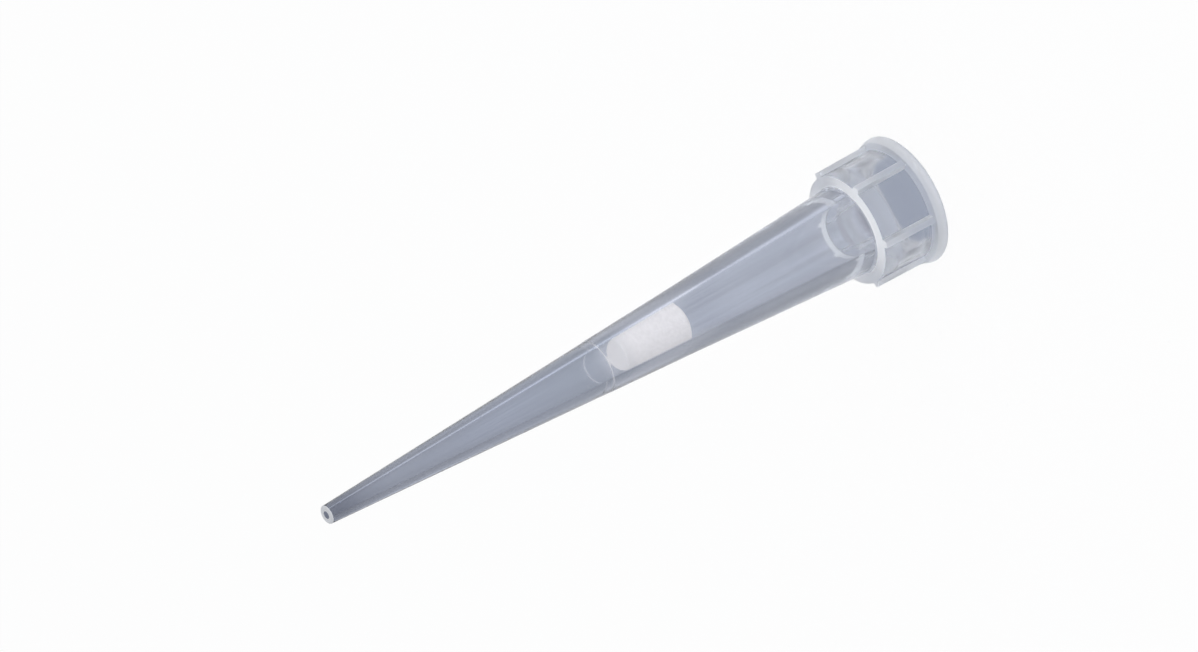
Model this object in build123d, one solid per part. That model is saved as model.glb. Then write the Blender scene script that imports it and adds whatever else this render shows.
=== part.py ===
"""Filtered pipette tip for the smallest pipettes, standing on its mouth with its point up.

The tip is one thin injection moulding: a ribbed collar with a flared rim, a hollow tapered
tube and a fine point. A white porous plug is pressed into the bore and stops aerosol.
Millimetres. The origin is the centre of the mouth's rim face and +Z runs to the orifice.
"""
from build123d import *
import os

# ---- lengths along the axis, from the rim face unless said otherwise
tip_length = 32.0
rim_land = 0.14             # upright band round the rim, next to the rim face
rim_height = 0.50           # to the rim's thin edge
rim_slope = 0.12            # how much higher the rim's upper face meets the collar
collar_height = 3.20
point_length = 14.80        # from the orifice face back to the witness ring
socket_depth = 2.15
socket_floor_cone = 0.80    # height of the cone from the socket's wall in to the bore

# ---- hollow side, as radii
socket_radius = 2.10        # the wall that a pipette's nozzle is pushed into
bore_top_radius = 1.26      # the bore where the cone under the socket ends
bore_seat_radius = 0.895    # the bore at the plug's end nearer the mouth
bore_ring_radius = 0.745    # the bore level with the witness ring
orifice_radius = 0.18
mouth_lead_in = 0.16

# ---- walls and outer steps
collar_wall = 0.48          # round the socket
collar_draft = 0.03         # how much the collar narrows from its rim to its front face
rim_step = 0.29             # how far the rim's thin edge stands out from the collar
rim_flare = 0.11            # how much further the rim stands out beside the rim face
root_wall = 0.78            # tube wall where it leaves the collar
seat_wall = 0.575           # tube wall at the plug's end nearer the mouth
ring_wall = 0.49            # tube wall level with the witness ring
orifice_wall = 0.245        # tube wall at the orifice face
witness_step = 0.02         # drop in radius at the line between the two mould halves

# ---- ribs down the collar
rib_count = 6
rib_height = 0.23           # how far a rib's crest stands out from the collar
rib_crest_width = 0.28
rib_root_width = 0.44
rib_rooting = 0.15          # how deep a rib's foot reaches into the collar's wall

# ---- small edges
rim_round = 0.08
root_fillet = 0.10
orifice_round = 0.05

# ---- porous plug
filter_length = 3.48
filter_setback = 1.08       # from the witness ring to the plug's end nearer the point
filter_clearance = 0.01     # left between the plug and the bore, so that neither overlaps
filter_edge_round = 0.12

# ---- sizes that follow
ring_z = tip_length - point_length
filter_top_z = ring_z - filter_setback
filter_base_z = filter_top_z - filter_length
bore_top_z = socket_depth + socket_floor_cone
collar_radius = socket_radius + collar_wall
collar_front_radius = collar_radius - collar_draft
rim_edge_radius = collar_radius + rim_step
rim_radius = rim_edge_radius + rim_flare
seat_radius = bore_seat_radius + seat_wall
ring_radius = bore_ring_radius + ring_wall
point_radius = orifice_radius + orifice_wall


def between(z, low, high):
    """Radius at height z on the straight line between two (radius, height) ends."""
    share = (z - low[1]) / (high[1] - low[1])
    return low[0] + share * (high[0] - low[0])


def seat_bore_radius(z):
    """Radius of the slow taper that holds the plug, from its base to the witness ring."""
    return between(z, (bore_seat_radius, filter_base_z), (bore_ring_radius, ring_z))


upper_bore = ((bore_top_radius, bore_top_z), (bore_seat_radius, filter_base_z))
root_radius = between(collar_height, *upper_bore) + root_wall


def round_edges(solid, radius, height):
    """The circular edges of a turned shape that lie at one radius and height."""
    return solid.edges().filter_by(
        lambda edge: edge.geom_type == GeomType.CIRCLE
        and abs(edge.radius - radius) < 1e-4
        and abs(edge.arc_center.Z - height) < 1e-4
    )


def turned(points):
    """Solid of revolution about Z from a closed outline of (radius, height) points."""
    with BuildPart() as body:
        with BuildSketch(Plane.XZ):
            with BuildLine():
                Polyline(*points, close=True)
            make_face()
        revolve(axis=Axis.Z)
    return body.part


def moulded_shell():
    """The collar, tube and point, hollow right through, before the ribs are added."""
    outside = [
        (rim_radius, 0),
        (rim_radius, rim_land),
        (rim_edge_radius, rim_height),
        (collar_radius, rim_height + rim_slope),
        (collar_front_radius, collar_height),
        (root_radius, collar_height),
        (seat_radius, filter_base_z),
        (ring_radius, ring_z),
        (ring_radius - witness_step, ring_z),
        (point_radius, tip_length),
    ]
    inside = [
        (orifice_radius, tip_length),
        (bore_ring_radius, ring_z),
        (bore_seat_radius, filter_base_z),
        (bore_top_radius, bore_top_z),
        (socket_radius, socket_depth),
        (socket_radius, 0),
    ]
    shell = turned(outside + inside)
    shell = fillet(round_edges(shell, rim_radius, 0), rim_round)
    shell = fillet(round_edges(shell, root_radius, collar_height), root_fillet)
    shell = fillet(round_edges(shell, point_radius, tip_length), orifice_round)
    return chamfer(round_edges(shell, socket_radius, 0), mouth_lead_in)


def rib():
    """One moulded rib along +X, from the rim's upper face to the collar's front face."""
    foot = collar_front_radius - rib_rooting
    with BuildPart() as body:
        for height, outer in (
            (rim_height, collar_radius + rib_height),
            (collar_height, collar_front_radius + rib_height),
        ):
            with BuildSketch(Plane.XY.offset(height)):
                with BuildLine():
                    Polyline(
                        (foot, -rib_root_width / 2),
                        (outer - rib_height, -rib_root_width / 2),
                        (outer, -rib_crest_width / 2),
                        (outer, rib_crest_width / 2),
                        (outer - rib_height, rib_root_width / 2),
                        (foot, rib_root_width / 2),
                        close=True,
                    )
                make_face()
        loft(ruled=True)
    return body.part


def tip_body():
    """The whole moulding: the turned shell with its ribs."""
    shell = moulded_shell()
    one_rib = rib()
    with BuildPart() as body:
        add(shell)
        with PolarLocations(0, rib_count):
            add(one_rib)
    return body.part


def aerosol_filter():
    """The porous plug, tapered to the bore that holds it."""
    plug = turned([
        (0, filter_base_z),
        (seat_bore_radius(filter_base_z) - filter_clearance, filter_base_z),
        (seat_bore_radius(filter_top_z) - filter_clearance, filter_top_z),
        (0, filter_top_z),
    ])
    rims = plug.edges().filter_by(GeomType.CIRCLE)
    return fillet(rims, filter_edge_round)


os.makedirs("parts", exist_ok=True)
export_step(tip_body(), "parts/tip_body.step")
export_step(aerosol_filter(), "parts/aerosol_filter.step")
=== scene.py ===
"""Looks of a filtered pipette tip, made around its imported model.

The tip is one clear polypropylene moulding that stands on its mouth with its point up. A
white sintered plug sits in its bore. Both are turned here again with finer edges, ribs and
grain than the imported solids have. Lengths are millimetres until a mesh is finished, and
metres after that.
"""
import logging
import math
from collections.abc import Callable, Mapping
from dataclasses import dataclass, field
from enum import Enum

import bmesh
import bpy
from mathutils import Matrix, Vector, noise


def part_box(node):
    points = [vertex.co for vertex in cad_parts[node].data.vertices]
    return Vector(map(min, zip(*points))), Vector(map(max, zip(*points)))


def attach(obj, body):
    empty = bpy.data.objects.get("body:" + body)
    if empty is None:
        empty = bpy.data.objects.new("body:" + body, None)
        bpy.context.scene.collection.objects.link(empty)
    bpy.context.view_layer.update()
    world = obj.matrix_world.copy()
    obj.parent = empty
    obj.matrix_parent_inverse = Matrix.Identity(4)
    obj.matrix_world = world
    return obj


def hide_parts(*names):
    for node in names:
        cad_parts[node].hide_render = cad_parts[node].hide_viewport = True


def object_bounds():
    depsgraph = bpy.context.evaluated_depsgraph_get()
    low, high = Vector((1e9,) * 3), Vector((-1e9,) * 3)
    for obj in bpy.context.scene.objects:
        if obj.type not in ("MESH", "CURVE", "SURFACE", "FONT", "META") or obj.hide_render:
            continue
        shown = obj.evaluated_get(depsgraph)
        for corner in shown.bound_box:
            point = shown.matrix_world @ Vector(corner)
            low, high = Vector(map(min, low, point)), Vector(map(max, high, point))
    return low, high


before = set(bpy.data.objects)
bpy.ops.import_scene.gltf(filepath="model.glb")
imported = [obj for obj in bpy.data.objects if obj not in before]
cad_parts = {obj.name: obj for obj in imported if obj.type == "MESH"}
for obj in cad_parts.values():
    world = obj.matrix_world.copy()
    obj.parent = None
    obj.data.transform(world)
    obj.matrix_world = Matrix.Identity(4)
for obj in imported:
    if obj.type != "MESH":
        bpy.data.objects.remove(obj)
CAD_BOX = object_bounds()

log = logging.getLogger("pipette_tip")

MM = 0.001
BODY = "root"
TURN_STEPS = 240          # copies of an outline in one full turn
TOUCH = 1e-3              # millimetres within which two places count as one
MERGE_DISTANCE = 1e-5     # millimetres within which two vertices become one
LARGE_FACES_LEAD = 100    # weight at which a flat face keeps its normal beside a rounded edge
RAMP_TOP = 2.0            # share that a ramp's white stands for
WHITE = (1.0, 1.0, 1.0, 1.0)
BETWEEN_COUNTS = 0.5      # lies between a count of none and a count of one
MOST_BOUNCES = 24         # enough to cross every wall of the tip and the walls behind it
MOST_REFLECTIONS = 12

Colour = tuple[float, float, float, float]
Outline = list[tuple[float, float]]
Shares = tuple[tuple[float, float], ...]


class Finish(Enum):
    """How the mould surface behind a face was made, as the share of spark erosion on it."""

    POLISHED = 0.0
    SOFT = 0.06
    FAINT = 0.25
    SATIN = 0.3
    MATT = 0.5
    ERODED = 1.0


# ---------------------------------------------------------------- shared helpers

def linear(hex_code: str) -> Colour:
    """Turn an sRGB hex colour into the linear colour that Blender works in.

    Args:
        hex_code: six hex digits, red first.

    Returns:
        Linear red, green and blue, and an alpha of 1.
    """
    shares = [int(hex_code[place:place + 2], 16) / 255 for place in (0, 2, 4)]
    channels = [s / 12.92 if s <= 0.04045 else ((s + 0.055) / 1.055) ** 2.4 for s in shares]
    return (*channels, 1.0)


def add_node(
    tree: bpy.types.NodeTree,
    kind: str,
    settings: Mapping[str, object] | None = None,
    inputs: Mapping[str | int, object] | None = None,
) -> bpy.types.Node:
    """Add one node with its settings, socket values and links.

    Args:
        tree: the node tree that gets the node.
        kind: the node's Blender type.
        settings: properties to set on the node.
        inputs: for each input, a value to set or an output socket to link from.

    Returns:
        The new node.
    """
    node = tree.nodes.new(kind)
    for name, value in (settings or {}).items():
        setattr(node, name, value)
    for name, value in (inputs or {}).items():
        if isinstance(value, bpy.types.NodeSocket):
            tree.links.new(value, node.inputs[name])
        else:
            node.inputs[name].default_value = value
    return node


def graded(
    tree: bpy.types.NodeTree,
    share: bpy.types.NodeSocket,
    stops: list[tuple[float, Colour]],
) -> bpy.types.NodeSocket:
    """Grade a share into colours with a ramp.

    Args:
        tree: the tree that gets the ramp.
        share: what to grade, from 0 to 1.
        stops: (place, linear colour) pairs in order.

    Returns:
        The colour.
    """
    ramp = add_node(tree, "ShaderNodeValToRGB", inputs={"Fac": share})
    elements = ramp.color_ramp.elements
    elements.remove(elements[1])
    for count, (place, colour) in enumerate(stops):
        stop = elements.new(place) if count else elements[0]
        stop.position = place
        stop.color = colour
    return ramp.outputs["Color"]


def share_colour(share: float) -> Colour:
    """Give the grey that stands for a share in a ramp, which holds nothing above 1."""
    return (share / RAMP_TOP, share / RAMP_TOP, share / RAMP_TOP, 1.0)


def new_material(name: str) -> tuple[bpy.types.Material, bpy.types.NodeTree]:
    """Make a material with an empty node tree.

    Args:
        name: the material's name.

    Returns:
        The material and its tree.
    """
    material = bpy.data.materials.new(name)
    material.use_nodes = True
    material.node_tree.nodes.clear()
    return material, material.node_tree


def between(z: float, low: tuple[float, float], high: tuple[float, float]) -> float:
    """Give the radius at a height on the line between two (radius, height) ends.

    Args:
        z: the height.
        low: radius and height of one end.
        high: radius and height of the other end.

    Returns:
        The radius at z.
    """
    share = (z - low[1]) / (high[1] - low[1])
    return low[0] + share * (high[0] - low[0])


def radius_of(place: Vector) -> float:
    """Give a point's distance from the tip's axis."""
    return math.hypot(place.x, place.y)


def spin_outline(outline: Outline, closed: bool, longest_edge: float) -> bmesh.types.BMesh:
    """Turn an outline about the tip's axis into a mesh whose faces point outwards.

    Args:
        outline: (radius, height) points in order.
        closed: whether the last point joins the first.
        longest_edge: outline edges longer than this are divided first.

    Returns:
        The turned mesh, in millimetres.
    """
    mesh = bmesh.new()
    points = [mesh.verts.new((radius, 0, height)) for radius, height in outline]
    for start, end in zip(points, points[1:] + (points[:1] if closed else [])):
        mesh.edges.new((start, end))
    while long_edges := [edge for edge in mesh.edges if edge.calc_length() > longest_edge]:
        bmesh.ops.subdivide_edges(mesh, edges=long_edges, cuts=1)
    bmesh.ops.spin(
        mesh,
        geom=mesh.verts[:] + mesh.edges[:],
        cent=(0, 0, 0),
        axis=(0, 0, 1),
        angle=math.tau,
        steps=TURN_STEPS,
        use_merge=True,
    )
    bmesh.ops.remove_doubles(mesh, verts=mesh.verts, dist=MERGE_DISTANCE)
    bmesh.ops.recalc_face_normals(mesh, faces=mesh.faces)
    return mesh


def round_edges(
    mesh: bmesh.types.BMesh,
    size: float,
    segments: int,
    wanted: Callable[[bmesh.types.BMEdge], bool],
) -> None:
    """Round the edges that a test picks.

    Args:
        mesh: the mesh to change.
        size: how far the rounding reaches from each edge.
        segments: faces across the rounding.
        wanted: the test for an edge.
    """
    bmesh.ops.bevel(
        mesh,
        geom=[edge for edge in mesh.edges if wanted(edge)],
        offset=size,
        segments=segments,
        profile=0.5,
        affect="EDGES",
        material=-1,
        clamp_overlap=True,
    )


def ring_at(radius: float, height: float) -> Callable[[bmesh.types.BMEdge], bool]:
    """Make a test for the edges of one ring.

    Args:
        radius: the ring's radius.
        height: the ring's height.

    Returns:
        A test that is true for an edge with both ends on the ring.
    """
    def on_ring(edge: bmesh.types.BMEdge) -> bool:
        return all(
            abs(radius_of(end.co) - radius) < TOUCH and abs(end.co.z - height) < TOUCH
            for end in edge.verts
        )
    return on_ring


def finished_piece(
    mesh: bmesh.types.BMesh,
    name: str,
    material: bpy.types.Material,
    sharp_angle: float,
) -> bpy.types.Object:
    """Turn a finished mesh into a shaded object in metres.

    Args:
        mesh: the mesh in millimetres. It is freed.
        name: the object's name.
        material: the material of all its faces.
        sharp_angle: edges that turn more than this many degrees stay sharp.

    Returns:
        The new object, at the origin.
    """
    bmesh.ops.scale(mesh, vec=(MM, MM, MM), verts=mesh.verts)
    data = bpy.data.meshes.new(name)
    mesh.to_mesh(data)
    mesh.free()
    data.materials.append(material)
    data.shade_smooth()
    data.set_sharp_from_angle(angle=math.radians(sharp_angle))
    piece = bpy.data.objects.new(name, data)
    bpy.context.scene.collection.objects.link(piece)
    weighting = piece.modifiers.new("flat_faces_stay_flat", "WEIGHTED_NORMAL")
    weighting.weight = LARGE_FACES_LEAD
    weighting.keep_sharp = True
    return piece


# ---------------------------------------------------------------- finishes

@dataclass(frozen=True)
class ClearPolypropylene:
    """Natural polypropylene, injection moulded against polished and spark-eroded steel.

    It is clear with a faint cold haze. Its base colour greys over the last few millimetres
    to the orifice, which is painted shade in the fine point. Where the steel was spark-eroded
    it turns matt, and with more erosion whitish too. Drawn-out flow lines run down the tube.
    """

    # Painted shade: base colours that grey towards the orifice, by distance below it.
    painted_point_shades: tuple[tuple[float, str], ...] = (    # by distance below the orifice
        (3.5, "FBFCFE"),
        (1.9, "EFF0F3"),
        (0.9, "DBDDE2"),
        (0.0, "D8DADE"),
    )
    ior: float = 1.49
    polished_roughness: float = 0.07
    eroded_roughness: float = 0.5
    polished_clearness: float = 0.985
    eroded_clearness: float = 0.25
    absorbed_tint: str = "C6CFDD"
    absorption_per_mm: float = 0.1
    flow_line_width: float = 0.22
    flow_line_length: float = 9.0
    flow_line_depth: float = 0.0016
    flow_line_detail: float = 2.0

    def material(self, tip_length: float) -> bpy.types.Material:
        """Build the node material.

        Args:
            tip_length: height of the orifice.

        Returns:
            The material.
        """
        material, tree = new_material("clear_polypropylene_moulded")
        erosion = add_node(tree, "ShaderNodeAttribute", {"attribute_name": "erosion"})
        share = erosion.outputs["Fac"]
        roughening = add_node(tree, "ShaderNodeMath", {"operation": "SQRT"}, {0: share})
        roughness = add_node(tree, "ShaderNodeMapRange", inputs={
            "Value": roughening.outputs[0],
            "To Min": self.polished_roughness,
            "To Max": self.eroded_roughness,
        })
        clearness = add_node(tree, "ShaderNodeMapRange", inputs={
            "Value": share,
            "To Min": self.polished_clearness,
            "To Max": self.eroded_clearness,
        })
        place = add_node(tree, "ShaderNodeTexCoord")
        apart = add_node(tree, "ShaderNodeSeparateXYZ", inputs={0: place.outputs["Object"]})
        painted_length = self.painted_point_shades[0][0]
        up_point = add_node(tree, "ShaderNodeMapRange", inputs={
            "Value": apart.outputs["Z"],
            "From Min": (tip_length - painted_length) * MM,
            "From Max": tip_length * MM,
        })
        # Painted shade: the base colour greys towards the orifice.
        painted_base_colour = graded(
            tree,
            up_point.outputs["Result"],
            [(1 - below / painted_length, linear(code)) for below, code in self.painted_point_shades],
        )
        across = 1 / (self.flow_line_width * MM)
        along = 1 / (self.flow_line_length * MM)
        drawn_out = add_node(tree, "ShaderNodeMapping", inputs={
            "Vector": place.outputs["Object"],
            "Scale": (across, across, along),
        })
        flow = add_node(tree, "ShaderNodeTexNoise", inputs={
            "Vector": drawn_out.outputs["Vector"],
            "Scale": 1.0,
            "Detail": self.flow_line_detail,
        })
        ripple = add_node(tree, "ShaderNodeBump", inputs={
            "Height": flow.outputs["Fac"],
            "Strength": 1.0,
            "Distance": self.flow_line_depth * MM,
        })
        plastic = add_node(tree, "ShaderNodeBsdfPrincipled", inputs={
            "Base Color": painted_base_colour,
            "IOR": self.ior,
            "Roughness": roughness.outputs["Result"],
            "Transmission Weight": clearness.outputs["Result"],
            "Normal": ripple.outputs["Normal"],
        })
        depth = add_node(tree, "ShaderNodeVolumeAbsorption", inputs={
            "Color": linear(self.absorbed_tint),
            "Density": self.absorption_per_mm / MM,
        })
        add_node(tree, "ShaderNodeOutputMaterial", inputs={
            "Surface": plastic.outputs["BSDF"],
            "Volume": depth.outputs["Volume"],
        })
        return material


@dataclass(frozen=True)
class PorousPolyethylene:
    """Polyethylene powder sintered into a porous plug: chalk white, matt and finely grained."""

    white: str = "F4F0F0"
    # Painted shade: the hollows between grains are coloured darker.
    hollow_painted_shade: str = "ECE8E8"
    end_shade: str = "E3E0E1"      # the end nearer the point, which light reaches less
    end_depth: float = 0.6         # how far down the plug that shade fades out
    roughness: float = 0.95
    ior: float = 1.5
    grain_width: float = 0.11
    grain_depth: float = 0.012
    grain_sharpness: float = 0.6
    pore_start: float = 0.25       # share of a grain's width at which the pore shade sets in
    pore_full: float = 0.8         # and at which it is full

    def material(self, top_z: float) -> bpy.types.Material:
        """Build the node material.

        Args:
            top_z: height of the plug's end nearer the point.

        Returns:
            The material.
        """
        material, tree = new_material("porous_polyethylene_sintered")
        place = add_node(tree, "ShaderNodeTexCoord")
        grains = add_node(tree, "ShaderNodeTexVoronoi", inputs={
            "Vector": place.outputs["Object"],
            "Scale": 1 / (self.grain_width * MM),
        })
        # Painted shade: darker towards the hollows between grains.
        shade = add_node(tree, "ShaderNodeMapRange", inputs={
            "Value": grains.outputs["Distance"],
            "From Min": self.pore_start,
            "From Max": self.pore_full,
        })
        colour = add_node(tree, "ShaderNodeMix", {"data_type": "RGBA"}, {
            "Factor": shade.outputs["Result"],
            "A": linear(self.white),
            "B": linear(self.hollow_painted_shade),
        })
        height = add_node(tree, "ShaderNodeSeparateXYZ", inputs={0: place.outputs["Object"]})
        endness = add_node(tree, "ShaderNodeMapRange", inputs={
            "Value": height.outputs["Z"],
            "From Min": (top_z - self.end_depth) * MM,
            "From Max": top_z * MM,
        })
        shaded = add_node(tree, "ShaderNodeMix", {"data_type": "RGBA"}, {
            "Factor": endness.outputs["Result"],
            "A": colour.outputs["Result"],
            "B": linear(self.end_shade),
        })
        pits = add_node(tree, "ShaderNodeBump", {"invert": True}, {
            "Height": grains.outputs["Distance"],
            "Strength": self.grain_sharpness,
            "Distance": self.grain_depth * MM,
        })
        powder = add_node(tree, "ShaderNodeBsdfPrincipled", inputs={
            "Base Color": shaded.outputs["Result"],
            "Roughness": self.roughness,
            "IOR": self.ior,
            "Normal": pits.outputs["Normal"],
        })
        add_node(tree, "ShaderNodeOutputMaterial", inputs={"Surface": powder.outputs["BSDF"]})
        return material


# ---------------------------------------------------------------- the object

@dataclass
class TipBody:
    """The moulding: ribbed collar with its flared rim, hollow tapered tube and fine point."""

    plastic: ClearPolypropylene = field(default_factory=ClearPolypropylene)
    tip_length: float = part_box("tip_body")[1].z / MM
    rim_radius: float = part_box("tip_body")[1].y / MM
    filter_base_z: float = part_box("aerosol_filter")[0].z / MM
    rim_land: float = 0.14
    rim_height: float = 0.50
    rim_slope: float = 0.12
    rim_flare: float = 0.11
    rim_step: float = 0.29
    collar_height: float = 3.20
    collar_draft: float = 0.03
    point_length: float = 14.80
    socket_depth: float = 2.15
    socket_floor_cone: float = 0.80
    socket_radius: float = 2.10
    mouth_lead_in: float = 0.16
    bore_top_radius: float = 1.26
    bore_seat_radius: float = 0.895
    bore_ring_radius: float = 0.745
    orifice_radius: float = 0.18
    root_wall: float = 0.78
    seat_wall: float = 0.575
    ring_wall: float = 0.49
    orifice_wall: float = 0.245
    witness_step: float = 0.02
    witness_width: float = 0.036  # the satin line itself
    witness_fade: float = 0.06    # the rest of the step, on each side of the line
    witness_share: float = 0.4    # how much of the step the line takes
    # Painted highlight: the front ring's sides lose erosion, so it is whiter front and back.
    painted_highlight_side_loss: float = 0.6        # share of the front ring's erosion that its sides lack
    rib_count: int = 6
    rib_height: float = 0.23
    rib_crest_steps: int = 2      # turn steps from a rib's middle to its crest's edge
    rib_root_steps: int = 3       # turn steps from a rib's middle to its foot
    rim_round: float = 0.08
    root_fillet: float = 0.10
    orifice_round: float = 0.05
    round_faces: int = 4          # faces across the rim's round and the root's fillet
    orifice_round_faces: int = 3
    edge_break: float = 0.022     # rounding of every other sharp edge
    edge_break_faces: int = 2
    edge_break_angle: float = 40  # degrees above which an edge is broken
    sharp_angle: float = 35       # degrees above which an edge is shaded sharp
    front_ring_facing: float = 0.7    # least upward share of the normal on the front ring
    orifice_facing: float = 0.3       # and on the orifice's rounded face
    longest_edge: float = 0.8

    def __post_init__(self) -> None:
        """Work out the sizes that follow from the driving ones."""
        self.ring_z = self.tip_length - self.point_length
        self.bore_top_z = self.socket_depth + self.socket_floor_cone
        self.rim_edge_radius = self.rim_radius - self.rim_flare
        self.collar_radius = self.rim_edge_radius - self.rim_step
        self.collar_front_radius = self.collar_radius - self.collar_draft
        self.point_radius = self.orifice_radius + self.orifice_wall
        self.seat_radius = self.bore_seat_radius + self.seat_wall
        self.ring_radius = self.bore_ring_radius + self.ring_wall
        self.root_radius = self.root_wall + between(
            self.collar_height,
            (self.bore_top_radius, self.bore_top_z),
            (self.bore_seat_radius, self.filter_base_z),
        )

    def outside(self) -> Outline:
        """Give the outside outline, from the rim face to the orifice."""
        return [
            (self.rim_radius, 0),
            (self.rim_radius, self.rim_land),
            (self.rim_edge_radius, self.rim_height),
            (self.collar_radius, self.rim_height + self.rim_slope),
            (self.collar_front_radius, self.collar_height),
            (self.root_radius, self.collar_height),
            (self.seat_radius, self.filter_base_z),
            *self.witness_line(),
            (self.point_radius, self.tip_length),
        ]

    def witness_line(self) -> Outline:
        """Give the soft step where the two mould halves met."""
        fade_drop = self.witness_step * (1 - self.witness_share) / 2
        line_end = self.witness_width / 2
        fade_end = line_end + self.witness_fade
        return [
            (self.ring_radius, self.ring_z - fade_end),
            (self.ring_radius - fade_drop, self.ring_z - line_end),
            (self.ring_radius - self.witness_step + fade_drop, self.ring_z + line_end),
            (self.ring_radius - self.witness_step, self.ring_z + fade_end),
        ]

    def inside(self) -> Outline:
        """Give the bore's outline, from the orifice back to the mouth."""
        return [
            (self.orifice_radius, self.tip_length),
            (self.bore_ring_radius, self.ring_z),
            (self.bore_seat_radius, self.filter_base_z),
            (self.bore_top_radius, self.bore_top_z),
            (self.socket_radius, self.socket_depth),
            (self.socket_radius, self.mouth_lead_in),
            (self.socket_radius + self.mouth_lead_in, 0),
        ]

    def raise_ribs(self, mesh: bmesh.types.BMesh) -> None:
        """Draw the collar's wall outwards into ribs, each as wide as a few turn steps.

        Args:
            mesh: the turned shell.
        """
        spacing = TURN_STEPS // self.rib_count
        low = self.rim_height + self.rim_slope
        for vertex in mesh.verts:
            radius = radius_of(vertex.co)
            wall = between(
                vertex.co.z,
                (self.collar_radius, low),
                (self.collar_front_radius, self.collar_height),
            )
            in_height = low - TOUCH < vertex.co.z < self.collar_height + TOUCH
            on_wall = in_height and abs(radius - wall) < TOUCH
            step = round(math.atan2(vertex.co.y, vertex.co.x) / math.tau * TURN_STEPS)
            from_middle = abs((step + spacing // 2) % spacing - spacing // 2)
            if not on_wall or from_middle >= self.rib_root_steps:
                continue
            run = self.rib_root_steps - self.rib_crest_steps
            rise = min(1.0, (self.rib_root_steps - from_middle) / run) * self.rib_height
            if abs(vertex.co.z - low) < TOUCH:
                vertex.co.z -= self.rim_slope * rise / self.rim_step
            vertex.co.xy *= (radius + rise) / radius

    def finish_of(self, face: bmesh.types.BMFace) -> Finish:
        """Say how the mould behind a face was finished.

        Args:
            face: a face of the moulding.

        Returns:
            Its finish.
        """
        middle = face.calc_center_median()
        radius = radius_of(middle)
        rim_top = self.rim_height + self.rim_slope
        beside_front = abs(middle.z - self.collar_height) < self.edge_break
        if beside_front and face.normal.z > self.front_ring_facing:
            return Finish.ERODED
        beside_orifice = middle.z > self.tip_length - self.orifice_round
        if beside_orifice and face.normal.z > self.orifice_facing:
            return Finish.ERODED
        if face.normal.xy.dot(middle.xy) < 0:
            in_cone = self.socket_depth < middle.z < self.bore_top_z
            return Finish.SOFT if in_cone else Finish.POLISHED
        if abs(middle.z - self.ring_z) < self.witness_width / 2:
            return Finish.SATIN
        if middle.z > self.collar_height or radius < self.root_radius + self.edge_break:
            return Finish.POLISHED
        if middle.z < self.rim_height and radius > self.rim_edge_radius:
            return Finish.SATIN if middle.z < self.rim_land else Finish.MATT
        if middle.z < rim_top and radius > self.collar_radius + self.edge_break:
            return Finish.FAINT
        if radius > self.collar_front_radius + self.rib_height - self.edge_break:
            return Finish.SATIN
        if radius > self.collar_radius + self.edge_break:
            return Finish.FAINT
        return Finish.SOFT

    def erosion_of(self, face: bmesh.types.BMFace) -> float:
        """Give the share of spark erosion behind a face.

        It is the finish's share, but it falls off round the front ring towards both sides. This
        paints a highlight: the ring is whiter front and back than at its sides.

        Args:
            face: a face of the moulding.

        Returns:
            The share, from 0 to 1.
        """
        finish = self.finish_of(face)
        middle = face.calc_center_median()
        if finish is not Finish.ERODED or middle.z > self.ring_z:
            return finish.value
        # Painted highlight: less erosion, and so less white, towards the ring's sides.
        sideness = (middle.x / radius_of(middle)) ** 2
        return finish.value * (1 - self.painted_highlight_side_loss * sideness)

    def build(self) -> bpy.types.Object:
        """Build the moulding and dress it.

        Returns:
            The finished piece.
        """
        mesh = spin_outline(self.outside() + self.inside(), True, self.longest_edge)
        for size, faces, radius, height in (
            (self.rim_round, self.round_faces, self.rim_radius, 0),
            (self.root_fillet, self.round_faces, self.root_radius, self.collar_height),
            (self.orifice_round, self.orifice_round_faces, self.point_radius, self.tip_length),
        ):
            round_edges(mesh, size, faces, ring_at(radius, height))
        self.raise_ribs(mesh)
        sharpest = math.radians(self.edge_break_angle)
        round_edges(
            mesh,
            self.edge_break,
            self.edge_break_faces,
            lambda edge: (
                edge.calc_face_angle(0) > sharpest and edge.calc_length() > self.edge_break
            ),
        )
        erosion = mesh.faces.layers.float.new("erosion")
        for face in mesh.faces:
            face[erosion] = self.erosion_of(face)
        material = self.plastic.material(self.tip_length)
        piece = finished_piece(mesh, "moulded_tip", material, self.sharp_angle)
        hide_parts("tip_body")
        return piece


@dataclass
class AerosolFilter:
    """The sintered plug in the bore, with its powder's grains on its skin."""

    powder: PorousPolyethylene = field(default_factory=PorousPolyethylene)
    base_z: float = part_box("aerosol_filter")[0].z / MM
    top_z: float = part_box("aerosol_filter")[1].z / MM
    base_radius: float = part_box("aerosol_filter")[1].y / MM
    taper: float = 0.115           # how much the radius falls from base to top
    base_round: float = 0.14
    top_round: float = 0.05
    longest_edge: float = 0.05
    skin_depth: float = 0.006      # how deep the hollows between grains are
    sharp_angle: float = 70        # degrees above which an edge is shaded sharp

    def outline(self) -> Outline:
        """Give the plug's outline, from the middle of its base to the middle of its top."""
        top_radius = self.base_radius - self.taper
        return [
            (0, self.base_z),
            (self.base_radius - self.base_round, self.base_z),
            (self.base_radius, self.base_z + self.base_round),
            (top_radius, self.top_z - self.top_round),
            (top_radius - self.top_round, self.top_z),
            (0, self.top_z),
        ]

    def press_grains(self, mesh: bmesh.types.BMesh) -> None:
        """Sink the skin between the powder's grains.

        Args:
            mesh: the turned plug.
        """
        mesh.normal_update()
        grain = self.powder.grain_width
        for vertex in mesh.verts:
            distances, _ = noise.voronoi(vertex.co / grain)
            vertex.co -= vertex.normal * self.skin_depth * min(1.0, distances[0])

    def build(self) -> bpy.types.Object:
        """Build the plug and dress it.

        Returns:
            The finished piece.
        """
        mesh = spin_outline(self.outline(), False, self.longest_edge)
        self.press_grains(mesh)
        material = self.powder.material(self.top_z)
        piece = finished_piece(mesh, "sintered_plug", material, self.sharp_angle)
        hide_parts("aerosol_filter")
        return piece


# ---------------------------------------------------------------- the studio

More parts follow.
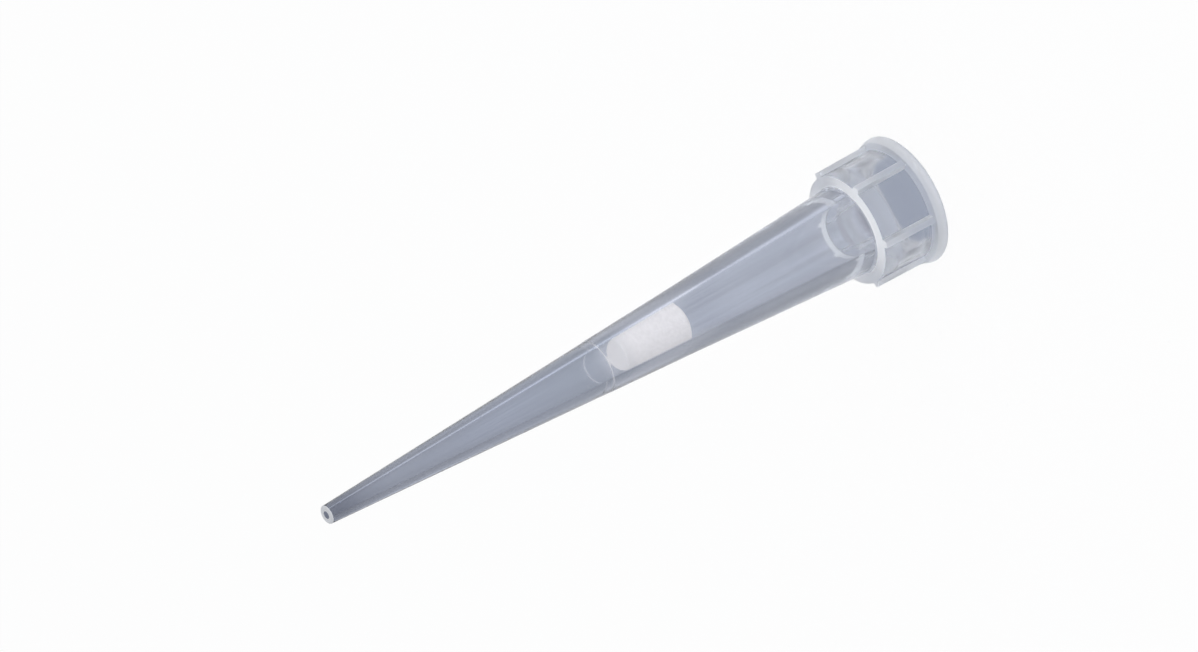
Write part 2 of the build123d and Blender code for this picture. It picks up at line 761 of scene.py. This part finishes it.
@dataclass(frozen=True)
class Studio:
    """A white sweep with a soft shadow, which the clear plastic shows as a pale grey-blue.

    The plastic is nearly colourless, so what shows through it decides how it looks. A ray
    that has come through it meets a cool grey on the sweep, in soft streaks that run away
    from the tip. A ray's distance there, its reach, is its height on the tube, and its
    bearing is its place across the tube. The greys go by reach in metres, and the shares
    that brighten or darken them go by bearing in degrees. The greys, shares and streaks are
    painted light and shade on the tip: its tone along the tube, its darker bands, a bright
    line along each edge of the bore and streaks of painted reflection.
    """

    floor_half_width: float = 2.0
    floor_drop: float = 0.02 * MM  # two faces at one height would hide each other by chance
    floor_white: str = "F6F6F7"
    shadow_share: float = 0.12
    sky: str = "ECEDEE"
    # Painted shade: rays through the plastic see the sky as this grey.
    painted_sky_grey: str = "AEB1BC"       # the sky as rays through the plastic see it
    # Painted shade: greys by reach that rays through the plastic meet on the sweep.
    greys: tuple[tuple[float, str], ...] = (
        (0.0022, "8E96A8"),
        (0.0030, "8D8F98"),
        (0.0040, "7D7F89"),
        (0.0046, "7D7F89"),
        (0.0052, "A0A3AE"),
        (0.0065, "B0B4BE"),
        (0.0080, "B0B4C0"),
        (0.0102, "A8ADBA"),
        (0.0165, "ADB2BF"),
        (0.0200, "A2A7B5"),
        (0.0213, "A5AAB7"),
        (0.0225, "B5B9C4"),
        (0.0285, "AFB3BF"),
        (0.0298, "959CAA"),
        (0.0320, "9097A5"),
        (0.0404, "959BAB"),
        (0.0489, "8C919F"),
        (0.0600, "8B909E"),
    )
    fewest_faces: float = 2.5      # a ray that crossed fewer faces kept to one wall
    # Painted light and shade across the tube: shares by bearing that brighten or darken the
    # greys.
    painted_near_tube: Shares = (          # for rays through both walls of the tube
        (-60, 0.97), (-43, 1.0), (-24, 0.98), (-16, 1.06), (-10, 0.98), (-4, 1.12), (0, 1.06),
        (5, 0.96), (9, 0.94), (18, 1.06), (30, 1.12), (60, 1.2),
    )
    painted_far_tube: Shares = (
        (-60, 0.86), (-43, 0.90), (-24, 0.95), (-16, 1.0), (-10, 0.97), (-7, 0.99), (-3, 1.04),
        (0, 1.06), (6, 1.10), (10, 1.06), (18, 1.04), (28, 1.0), (60, 1.0),
    )
    # At 66 to 77 degrees these paint a bright line along each edge of the bore.
    painted_near_wall: Shares = (          # for rays along one wall, which both edges of the tube show
        (-90, 0.55), (-78, 0.62), (-70, 0.70), (-50, 0.72), (-38, 0.68), (-20, 0.59), (-11, 0.58),
        (-4, 0.69), (10, 0.64), (24, 0.72), (47, 0.70), (56, 0.82), (60, 0.95), (66, 1.42),
        (77, 1.42), (84, 0.63), (90, 0.55),
    )
    painted_far_wall: Shares = (
        (-90, 0.70), (-73, 0.77), (-57, 0.82), (-36, 0.81), (-23, 0.83), (-10, 0.90), (3, 0.95),
        (13, 0.92), (26, 0.85), (39, 0.82), (56, 0.96), (60, 1.10), (66, 1.74), (77, 1.74),
        (84, 0.80), (90, 0.70),
    )
    # Painted light: brighter greys at the tube's root.
    painted_root_light: Shares = (        # by reach, for rays through both walls at the tube's root
        (0.0041, 1.0), (0.0044, 1.7), (0.0049, 1.7), (0.0054, 1.0),
    )
    even_reach: float = 0.0052     # no shares by bearing up to here
    shared_reach: float = 0.0075   # the near shares hold from here
    near_reach: float = 0.018      # and up to here
    far_reach: float = 0.027       # the far shares hold from here
    # Painted reflections: soft streaks that lighten and darken the greys along the tube.
    streak_width: float = 3.5      # degrees
    streak_length: float = 0.012
    streak_strength: float = 0.10
    streak_detail: float = 2.0
    streak_start: float = 0.3      # the noise's height where a streak sets in
    streak_full: float = 0.7       # and where it is full

    def through_plastic(self, tree: bpy.types.NodeTree) -> bpy.types.NodeSocket:
        """Tell rays that have last come through the plastic from all others.

        Args:
            tree: the tree that gets the nodes.

        Returns:
            A socket that is 1 for such a ray.
        """
        return add_node(tree, "ShaderNodeLightPath").outputs["Is Transmission Ray"]

    def scattered(self, tree: bpy.types.NodeTree) -> bpy.types.NodeSocket:
        """Tell rays that a matt surface has scattered, such as the plug's, from straight ones.

        Args:
            tree: the tree that gets the nodes.

        Returns:
            A socket that is 1 for such a ray.
        """
        path = add_node(tree, "ShaderNodeLightPath")
        return add_node(tree, "ShaderNodeMath", {"operation": "GREATER_THAN"}, {
            0: path.outputs["Diffuse Depth"],
            1: BETWEEN_COUNTS,
        }).outputs[0]

    def seen_directly(self, tree: bpy.types.NodeTree) -> bpy.types.NodeSocket:
        """Tell camera rays and mirrored rays from all others.

        Args:
            tree: the tree that gets the nodes.

        Returns:
            A socket that is 1 for such a ray.
        """
        path = add_node(tree, "ShaderNodeLightPath")
        either = add_node(tree, "ShaderNodeMath", {"operation": "MAXIMUM"}, {
            0: path.outputs["Is Camera Ray"],
            1: path.outputs["Is Glossy Ray"],
        })
        return either.outputs[0]

    def share_at(
        self,
        tree: bpy.types.NodeTree,
        bearing: bpy.types.NodeSocket,
        shares: Shares,
    ) -> bpy.types.NodeSocket:
        """Read a share off a table by bearing.

        Args:
            tree: the tree that gets the nodes.
            bearing: the bearing in radians.
            shares: (degrees, share) pairs in order.

        Returns:
            The share, as share_colour gives it.
        """
        lowest, highest = shares[0][0], shares[-1][0]
        place = add_node(tree, "ShaderNodeMapRange", inputs={
            "Value": bearing,
            "From Min": math.radians(lowest),
            "From Max": math.radians(highest),
        })
        stops = [
            ((degrees - lowest) / (highest - lowest), share_colour(share))
            for degrees, share in shares
        ]
        return graded(tree, place.outputs["Result"], stops)

    def streaks(
        self,
        tree: bpy.types.NodeTree,
        bearing: bpy.types.NodeSocket,
        reach: bpy.types.NodeSocket,
    ) -> bpy.types.NodeSocket:
        """Make soft streaks that run away from the tip.

        Args:
            tree: the tree that gets the nodes.
            bearing: the bearing in radians.
            reach: the distance from the tip in metres.

        Returns:
            A share near 1.
        """
        # Painted reflections: streaks that lighten and darken the greys along the tube.
        across = add_node(tree, "ShaderNodeMath", {"operation": "DIVIDE"}, {
            0: bearing,
            1: math.radians(self.streak_width),
        })
        along = add_node(tree, "ShaderNodeMath", {"operation": "DIVIDE"}, {
            0: reach,
            1: self.streak_length,
        })
        place = add_node(tree, "ShaderNodeCombineXYZ", inputs={
            "X": across.outputs[0],
            "Y": along.outputs[0],
        })
        cloud = add_node(tree, "ShaderNodeTexNoise", inputs={
            "Vector": place.outputs[0],
            "Scale": 1.0,
            "Detail": self.streak_detail,
        })
        share = add_node(tree, "ShaderNodeMapRange", inputs={
            "Value": cloud.outputs["Fac"],
            "From Min": self.streak_start,
            "From Max": self.streak_full,
            "To Min": 1 - self.streak_strength,
            "To Max": 1 + self.streak_strength,
        })
        return share.outputs["Result"]

    def share_by_bearing(
        self,
        tree: bpy.types.NodeTree,
        bearing: bpy.types.NodeSocket,
        reach: bpy.types.NodeSocket,
        one_wall: bpy.types.NodeSocket,
    ) -> bpy.types.NodeSocket:
        """Blend the near tables into the far ones, for rays through one wall or through both.

        Args:
            tree: the tree that gets the nodes.
            bearing: the bearing in radians.
            reach: the distance from the tip in metres.
            one_wall: 1 for a ray that kept to one wall.

        Returns:
            The share, as share_colour gives it.
        """
        nearness = add_node(tree, "ShaderNodeMapRange", inputs={
            "Value": reach,
            "From Min": self.far_reach,
            "From Max": self.near_reach,
        })
        near_share, far_share = (
            add_node(tree, "ShaderNodeMix", {"data_type": "RGBA"}, {
                "Factor": one_wall,
                "A": self.share_at(tree, bearing, tube),
                "B": self.share_at(tree, bearing, wall),
            })
            for tube, wall in ((self.painted_near_tube, self.painted_near_wall), (self.painted_far_tube, self.painted_far_wall))
        )
        share = add_node(tree, "ShaderNodeMix", {"data_type": "RGBA"}, {
            "Factor": nearness.outputs["Result"],
            "A": far_share.outputs["Result"],
            "B": near_share.outputs["Result"],
        })
        return share.outputs["Result"]

    def painted_grey_of(self, tree: bpy.types.NodeTree) -> bpy.types.NodeSocket:
        """Grade the sweep's grey by reach and bearing, and by the walls that a ray crossed.

        Args:
            tree: the tree that gets the nodes.

        Returns:
            The colour.
        """
        # Painted light and shade for rays through the plastic, by reach and bearing.
        place = add_node(tree, "ShaderNodeTexCoord").outputs["Object"]
        apart = add_node(tree, "ShaderNodeSeparateXYZ", inputs={0: place})
        bearing = add_node(tree, "ShaderNodeMath", {"operation": "ARCTAN2"}, {
            0: apart.outputs["X"],
            1: apart.outputs["Y"],
        }).outputs[0]
        reach = add_node(tree, "ShaderNodeVectorMath", {"operation": "LENGTH"}, {
            0: place,
        }).outputs["Value"]
        path = add_node(tree, "ShaderNodeLightPath")
        one_wall = add_node(tree, "ShaderNodeMath", {"operation": "LESS_THAN"}, {
            0: path.outputs["Transmission Depth"],
            1: self.fewest_faces,
        }).outputs[0]
        widest = self.greys[-1][0]
        outwards = add_node(tree, "ShaderNodeMath", {"operation": "DIVIDE"}, {
            0: reach,
            1: widest,
        }).outputs[0]
        grey = graded(
            tree,
            outwards,
            [(radius / widest, linear(code)) for radius, code in self.greys],
        )
        root_share = graded(
            tree,
            outwards,
            [(radius / widest, share_colour(share)) for radius, share in self.painted_root_light],
        )
        close_share = add_node(tree, "ShaderNodeMix", {"data_type": "RGBA"}, {
            "Factor": one_wall,
            "A": root_share,
            "B": share_colour(1.0),
        })
        streaked_share = add_node(tree, "ShaderNodeVectorMath", {"operation": "SCALE"}, {
            0: self.share_by_bearing(tree, bearing, reach, one_wall),
            "Scale": self.streaks(tree, bearing, reach),
        })
        apartness = add_node(tree, "ShaderNodeMapRange", inputs={
            "Value": reach,
            "From Min": self.even_reach,
            "From Max": self.shared_reach,
        })
        share = add_node(tree, "ShaderNodeMix", {"data_type": "RGBA"}, {
            "Factor": apartness.outputs["Result"],
            "A": close_share.outputs["Result"],
            "B": streaked_share.outputs["Vector"],
        })
        ramp_grey = add_node(tree, "ShaderNodeVectorMath", {"operation": "MULTIPLY"}, {
            0: grey,
            1: share.outputs["Result"],
        })
        full_grey = add_node(tree, "ShaderNodeVectorMath", {"operation": "SCALE"}, {
            0: ramp_grey.outputs["Vector"],
            "Scale": RAMP_TOP,
        })
        return full_grey.outputs["Vector"]

    def floor_material(self) -> bpy.types.Material:
        """Build the sweep's material.

        Returns:
            The material.
        """
        material, tree = new_material("studio_sweep")
        paper = add_node(tree, "ShaderNodeBsdfPrincipled", inputs={
            "Base Color": linear(self.floor_white),
            "Roughness": 1.0,
        })
        white = add_node(tree, "ShaderNodeEmission", inputs={"Color": WHITE, "Strength": 1.0})
        with_shadow = add_node(tree, "ShaderNodeMixShader", inputs={
            0: self.shadow_share,
            1: white.outputs[0],
            2: paper.outputs[0],
        })
        # Painted light and shade for rays through the plastic.
        grey = add_node(tree, "ShaderNodeEmission", inputs={"Color": self.painted_grey_of(tree)})
        light = add_node(tree, "ShaderNodeEmission", inputs={"Color": linear(self.sky)})
        seen_through = add_node(tree, "ShaderNodeMixShader", inputs={
            0: self.scattered(tree),
            1: grey.outputs[0],
            2: light.outputs[0],
        })
        direct = add_node(tree, "ShaderNodeMixShader", inputs={
            0: self.seen_directly(tree),
            1: paper.outputs[0],
            2: with_shadow.outputs[0],
        })
        surface = add_node(tree, "ShaderNodeMixShader", inputs={
            0: self.through_plastic(tree),
            1: direct.outputs[0],
            2: seen_through.outputs[0],
        })
        add_node(tree, "ShaderNodeOutputMaterial", inputs={"Surface": surface.outputs[0]})
        return material

    def floor(self) -> None:
        """Lay the sweep under the tip."""
        mesh = bmesh.new()
        bmesh.ops.create_grid(
            mesh,
            x_segments=1,
            y_segments=1,
            size=self.floor_half_width,
            matrix=Matrix.Translation((0, 0, -self.floor_drop)),
        )
        data = bpy.data.meshes.new("sweep")
        mesh.to_mesh(data)
        mesh.free()
        data.materials.append(self.floor_material())
        sweep = bpy.data.objects.new("sweep", data)
        bpy.context.scene.collection.objects.link(sweep)

    def world(self) -> None:
        """Light the tip evenly from all round, with white where it is seen directly."""
        world = bpy.data.worlds.new("even_light")
        bpy.context.scene.world = world
        world.use_nodes = True
        tree = world.node_tree
        tree.nodes.clear()
        direct = add_node(tree, "ShaderNodeMix", {"data_type": "RGBA"}, {
            "Factor": self.seen_directly(tree),
            "A": linear(self.sky),
            "B": WHITE,
        })
        # Painted shade: the sky greyed for rays through the plastic.
        behind = add_node(tree, "ShaderNodeMix", {"data_type": "RGBA"}, {
            "Factor": self.scattered(tree),
            "A": linear(self.painted_sky_grey),
            "B": linear(self.sky),
        })
        colour = add_node(tree, "ShaderNodeMix", {"data_type": "RGBA"}, {
            "Factor": self.through_plastic(tree),
            "A": direct.outputs["Result"],
            "B": behind.outputs["Result"],
        })
        sky = add_node(tree, "ShaderNodeBackground", inputs={"Color": colour.outputs["Result"]})
        add_node(tree, "ShaderNodeOutputWorld", inputs={"Surface": sky.outputs[0]})


@dataclass(frozen=True)
class SoftBox:
    """One round lamp that faces the tip."""

    name: str
    place: tuple[float, float, float]
    width: float
    watts: float

    def build(self, target: Vector) -> None:
        """Hang the lamp.

        Args:
            target: the point that it faces.
        """
        light = bpy.data.lights.new(self.name, "AREA")
        light.shape = "DISK"
        light.size = self.width
        light.energy = self.watts
        lamp = bpy.data.objects.new(self.name, light)
        lamp.location = self.place
        lamp.rotation_euler = (target - lamp.location).to_track_quat("-Z", "Y").to_euler()
        bpy.context.scene.collection.objects.link(lamp)


@dataclass(frozen=True)
class StudioCamera:
    """A long lens on a turned head, so that the standing tip lies slantwise in the picture."""

    distance: float = 1.0
    elevation: float = 28.6        # degrees above the horizon
    roll: float = 118.65           # degrees that the head is turned
    picture_width: float = 51.1    # millimetres across the picture at the tip
    right_of_middle: float = 0.79  # where the tip's middle lies in the picture, in millimetres
    below_middle: float = 1.27
    sensor_width: float = 36.0

    def build(self, target: Vector) -> None:
        """Set up the camera.

        Args:
            target: the tip's middle.
        """
        tilt = math.radians(self.elevation)
        turn = math.radians(self.roll)
        back = Vector((0, -math.cos(tilt), math.sin(tilt)))
        level_up = Vector((0, math.sin(tilt), math.cos(tilt)))
        level_right = Vector((1, 0, 0))
        right = level_right * math.cos(turn) - level_up * math.sin(turn)
        up = level_right * math.sin(turn) + level_up * math.cos(turn)
        middle = target - right * self.right_of_middle * MM + up * self.below_middle * MM
        data = bpy.data.cameras.new("studio_camera")
        data.sensor_width = self.sensor_width
        data.lens = self.sensor_width * self.distance / (self.picture_width * MM)
        camera = bpy.data.objects.new("studio_camera", data)
        camera.matrix_world = Matrix.Translation(middle + back * self.distance) @ (
            Matrix((right, up, back)).transposed().to_4x4()
        )
        bpy.context.scene.collection.objects.link(camera)
        bpy.context.scene.camera = camera


SOFT_BOXES = (
    SoftBox(name="key", place=(0.25, -0.35, 0.25), width=0.50, watts=0.6),
    SoftBox(name="fill", place=(-0.30, -0.20, 0.40), width=0.30, watts=0.05),
)


def set_up_rendering() -> None:
    """Use plain colour, and let light pass through every wall of the tip."""
    scene = bpy.context.scene
    scene.view_settings.view_transform = "Standard"
    scene.cycles.max_bounces = MOST_BOUNCES
    scene.cycles.transmission_bounces = MOST_BOUNCES
    scene.cycles.glossy_bounces = MOST_REFLECTIONS
    scene.cycles.blur_glossy = 0.0


def main() -> None:
    """Build the studio and the two pieces, and say what was made."""
    logging.basicConfig(level=logging.INFO, format="%(name)s: %(message)s")
    lowest, highest = CAD_BOX
    middle = (lowest + highest) / 2
    set_up_rendering()
    StudioCamera().build(middle)
    studio = Studio()
    studio.floor()
    studio.world()
    for box in SOFT_BOXES:
        box.build(middle)
    for part in (TipBody(), AerosolFilter()):
        piece = part.build()
        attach(piece, BODY)
        log.info("%s: %d faces", piece.name, len(piece.data.polygons))


if __name__ == "__main__":
    main()
